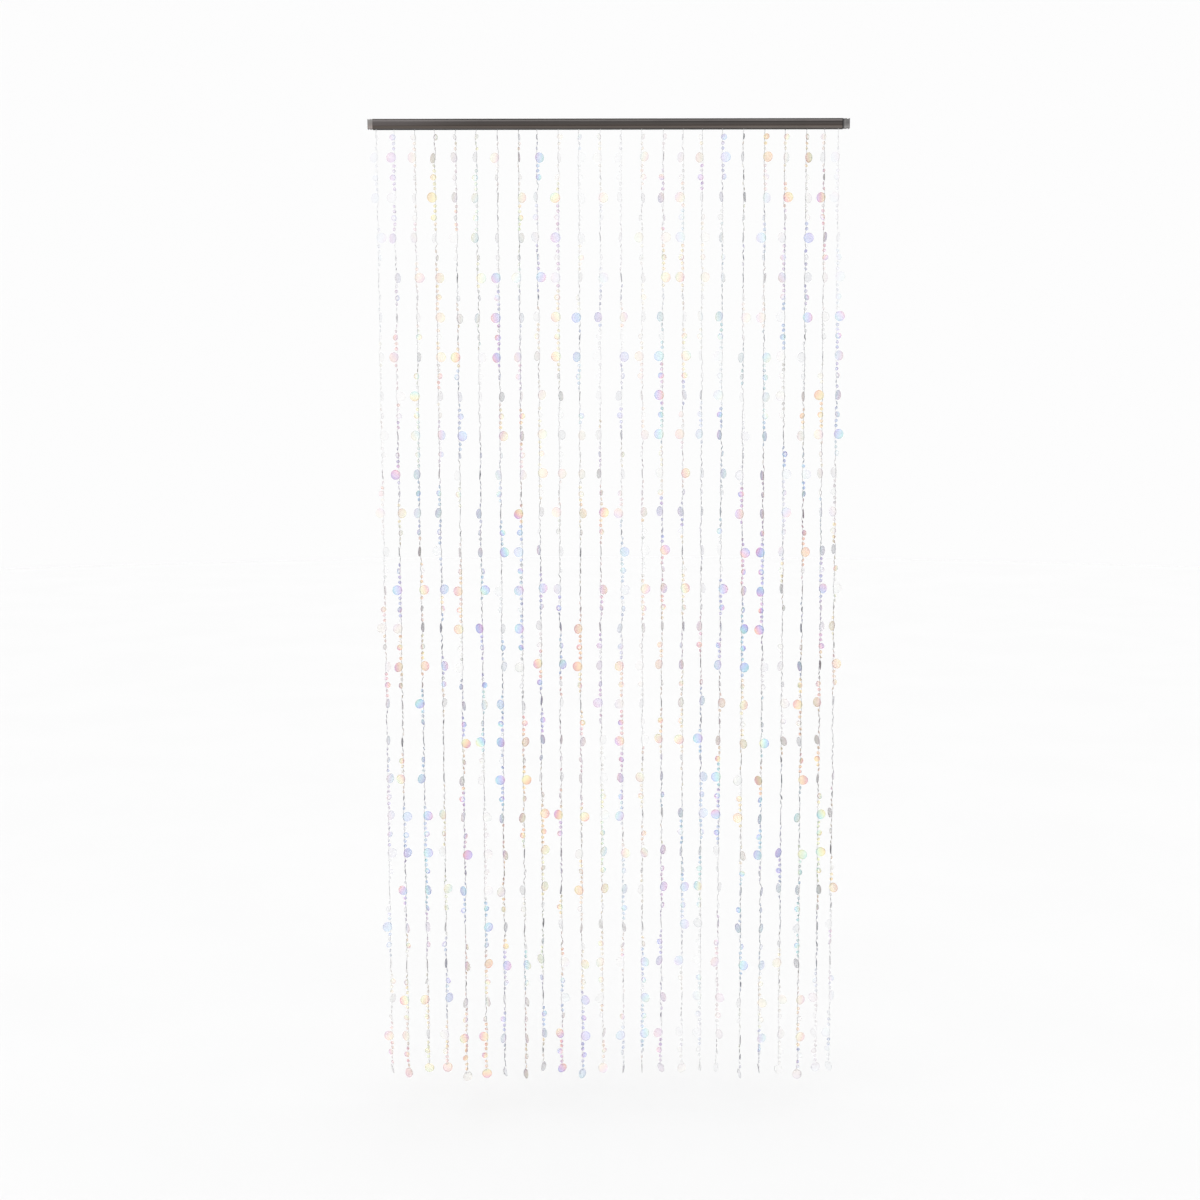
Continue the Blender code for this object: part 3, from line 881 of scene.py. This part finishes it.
# ------------------------------------------------------------ the heading strip
def build_strip(material):
    """The tape that the strings are knotted to: a beaded edge along each side
    and a raised middle that rides on the lips of the slot."""
    left = -RAIL_SPAN / 2 + PLUG_OUT_LEFT + 1.0
    right = RAIL_SPAN / 2 - PLUG_OUT_RIGHT - 1.0
    mid = (STRIP_TOP + STRIP_BOTTOM) / 2.0
    half = (STRIP_TOP - STRIP_BOTTOM) / 2.0
    section = []
    for k in range(28):         # two round beads joined by a thinner web
        t = 2 * math.pi * k / 28
        y = STRIP_HALF * math.cos(t)
        waist = 0.52 + 0.48 * min(1.0, abs(math.cos(t)) ** 1.5 * 1.25)
        section.append((y, mid + half * waist * math.sin(t)))
    xs = np.arange(left, right + 0.01, (right - left) / 120.0)
    points = [(x, y, z) for x in xs for y, z in section]
    n = len(section)
    faces = [(a * n + k, a * n + (k + 1) % n, (a + 1) * n + (k + 1) % n, (a + 1) * n + k)
             for a in range(len(xs) - 1) for k in range(n)]
    faces.append(tuple(range(n)))
    faces.append(tuple(range((len(xs) - 1) * n, len(xs) * n))[::-1])
    me = bpy.data.meshes.new("heading_strip")
    me.from_pydata((np.array(points) * MM).tolist(), [], faces)
    bm = bmesh.new()
    bm.from_mesh(me)
    bmesh.ops.recalc_face_normals(bm, faces=bm.faces)
    bm.to_mesh(me)
    bm.free()
    me.polygons.foreach_set("use_smooth", np.ones(len(me.polygons), bool))
    me.set_sharp_from_angle(angle=math.radians(60.0))
    me.materials.append(material)
    ob = bpy.data.objects.new("heading_strip", me)
    bpy.context.scene.collection.objects.link(ob)
    return ob


# ------------------------------------------------------- floor, light and world
# a white tent: how bright its front and back, its roof and the rest of it are
TENT_SIDES, TENT_ROOF, TENT_DIM = 2.20, 2.10, 0.40
FACING_LOBE, ROOF_LOBE = (0.70, 0.97), (0.60, 0.98)
BACKDROP = 0.982
STAGE_RADIUS, STAGE_TOP, WALL_TONE = 14.0, 12.0, 0.50


def tent_light(normal):
    """How bright a white matt face looks in the tent, by the way it faces."""
    turn, z = np.meshgrid((np.arange(720) + 0.5) / 720 * 2 * math.pi,
                          (np.arange(720) + 0.5) / 360 - 1.0)
    flat = np.sqrt(1.0 - z * z)
    x, y = flat * np.cos(turn), flat * np.sin(turn)

    def lobe(value, low, high):
        t = np.clip((value - low) / (high - low), 0.0, 1.0)
        return t * t * (3.0 - 2.0 * t)
    tent = TENT_SIDES * lobe(np.abs(y), *FACING_LOBE) + TENT_ROOF * lobe(z, *ROOF_LOBE) + TENT_DIM
    face = np.maximum(0.0, x * normal[0] + y * normal[1] + z * normal[2])
    return float((tent * face).mean() * 4.0)


def floor_material():
    m = Nodes("studio_floor")
    cloud = m.noise(m.place(), 1.6, 3.0)
    tone = BACKDROP / tent_light((0.0, 0.0, 1.0))
    m.set(Base_Color=m.mix(m.span(cloud, 0.3, 0.7), (tone * 0.994,) * 3, (tone * 1.004,) * 3),
          Roughness=m.span(cloud, 0.3, 0.7, 0.75, 0.85))
    m.bsdf.inputs["Specular IOR Level"].default_value = 0.0
    return m.mat


def wall_material():
    """Paper that looks as bright as the floor whichever way it faces."""
    m = Nodes("studio_wall")
    n = m.node("ShaderNodeNewGeometry")
    across = m.math("ABSOLUTE", m.split(n.outputs["Normal"])[1])
    stops = []
    for k in range(9):
        a = k / 8.0
        glow = BACKDROP - WALL_TONE * tent_light((math.sqrt(1.0 - a * a), a, 0.0))
        stops.append((a, (glow, glow, glow)))
    cloud = m.noise(m.place(), 0.8, 2.0)
    m.set(Base_Color=(WALL_TONE, WALL_TONE, WALL_TONE, 1.0), Emission_Color=m.ramp(across, stops),
          Roughness=m.span(cloud, 0.3, 0.7, 0.8, 0.9))
    m.bsdf.inputs["Emission Strength"].default_value = 1.0
    m.bsdf.inputs["Specular IOR Level"].default_value = 0.0
    return m.mat


def build_stage():
    """A round studio: a level floor inside a far wall, both plain and pale."""
    for name, material in (("floor", floor_material()), ("wall", wall_material())):
        me = bpy.data.meshes.new(name)
        bm = bmesh.new()
        if name == "floor":
            bmesh.ops.create_circle(bm, cap_ends=True, segments=96, radius=STAGE_RADIUS)
        else:
            bmesh.ops.create_cone(bm, cap_ends=False, segments=96, radius1=STAGE_RADIUS,
                                  radius2=STAGE_RADIUS, depth=STAGE_TOP)
            bmesh.ops.translate(bm, verts=bm.verts, vec=(0.0, 0.0, STAGE_TOP / 2.0))
            bmesh.ops.reverse_faces(bm, faces=bm.faces)
        bm.to_mesh(me)
        bm.free()
        me.polygons.foreach_set("use_smooth", np.ones(len(me.polygons), bool))
        me.materials.append(material)
        ob = bpy.data.objects.new(name, me)
        ob.location = (0.0, 0.0, FLOOR * MM)
        ob.visible_diffuse = ob.visible_glossy = False
        ob.visible_shadow = ob.visible_transmission = False
        bpy.context.scene.collection.objects.link(ob)


def build_light():
    """A white tent lit evenly from in front, behind and above. Glossy faces see
    its front and roof; the sides are dim, so film seen edge on reads grey."""
    world = bpy.data.worlds.new("studio")
    world.use_nodes = True
    nt = world.node_tree
    nt.nodes.clear()

    def node(kind, **settings):
        n = nt.nodes.new(kind)
        for key, value in settings.items():
            setattr(n, key, value)
        return n

    def lobe(value, low, high, strength):
        n = node("ShaderNodeMapRange", interpolation_type="SMOOTHSTEP")
        nt.links.new(value, n.inputs[0])
        for socket, v in zip(n.inputs[1:5], (low, high, 0.0, strength)):
            socket.default_value = v
        return n.outputs[0]

    def math_node(operation, a, b=0.0):
        n = node("ShaderNodeMath", operation=operation)
        for socket, v in zip(n.inputs, (a, b)):
            if isinstance(v, bpy.types.NodeSocket):
                nt.links.new(v, socket)
            else:
                socket.default_value = v
        return n.outputs[0]

    def background(colour, strength):
        n = node("ShaderNodeBackground")
        n.inputs["Color"].default_value = (*colour, 1.0)
        if isinstance(strength, bpy.types.NodeSocket):
            nt.links.new(strength, n.inputs["Strength"])
        else:
            n.inputs["Strength"].default_value = strength
        return n.outputs[0]

    place = node("ShaderNodeTexCoord")
    axes = node("ShaderNodeSeparateXYZ")
    nt.links.new(place.outputs["Generated"], axes.inputs[0])
    across, up = axes.outputs["Y"], axes.outputs["Z"]
    tent = math_node("ADD", lobe(math_node("ABSOLUTE", across), *FACING_LOBE, TENT_SIDES),
                     lobe(up, *ROOF_LOBE, TENT_ROOF))
    tent = math_node("ADD", tent, TENT_DIM)
    shine = math_node("ADD", lobe(math_node("MULTIPLY", across, -1.0), 0.45, 0.97, 1.0),
                      lobe(up, 0.45, 0.95, 0.8))
    shine = math_node("ADD", shine, 0.26)
    path = node("ShaderNodeLightPath")
    light = node("ShaderNodeMixShader")
    nt.links.new(path.outputs["Is Glossy Ray"], light.inputs[0])
    nt.links.new(background((1.0, 1.0, 1.0), tent), light.inputs[1])
    nt.links.new(background((0.98, 0.99, 1.0), shine), light.inputs[2])
    seen = node("ShaderNodeMixShader")
    nt.links.new(path.outputs["Is Camera Ray"], seen.inputs[0])
    nt.links.new(light.outputs[0], seen.inputs[1])
    nt.links.new(background((1.0, 1.0, 1.0), BACKDROP), seen.inputs[2])
    out = node("ShaderNodeOutputWorld")
    nt.links.new(seen.outputs[0], out.inputs["Surface"])
    bpy.context.scene.world = world


# -------------------------------------------------------------------- assembly
def main():
    bpy.context.scene.view_settings.view_transform = "Standard"
    bpy.context.scene.cycles.transparent_max_bounces = 128
    film, yarn = film_material(), thread_material()
    for index in range(len(STRINGS)):
        string = String(index)
        end_of_string(string)
        thread, route, length = build_thread(string, yarn)
        sequins = build_sequins(string, film)
        for piece in (thread, sequins):
            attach(piece, "root")
            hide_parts("string_comb")
    strip = build_strip(strip_material())
    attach(strip, "root")
    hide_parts("string_comb")
    metal, plastic = rail_material(), plug_material()
    for node, material in (("rail", metal), ("end_plug_left", plastic),
                           ("end_plug_right", plastic)):
        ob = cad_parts[node]
        ob.data.materials.clear()
        ob.data.materials.append(material)
    build_stage()
    build_light()


main()
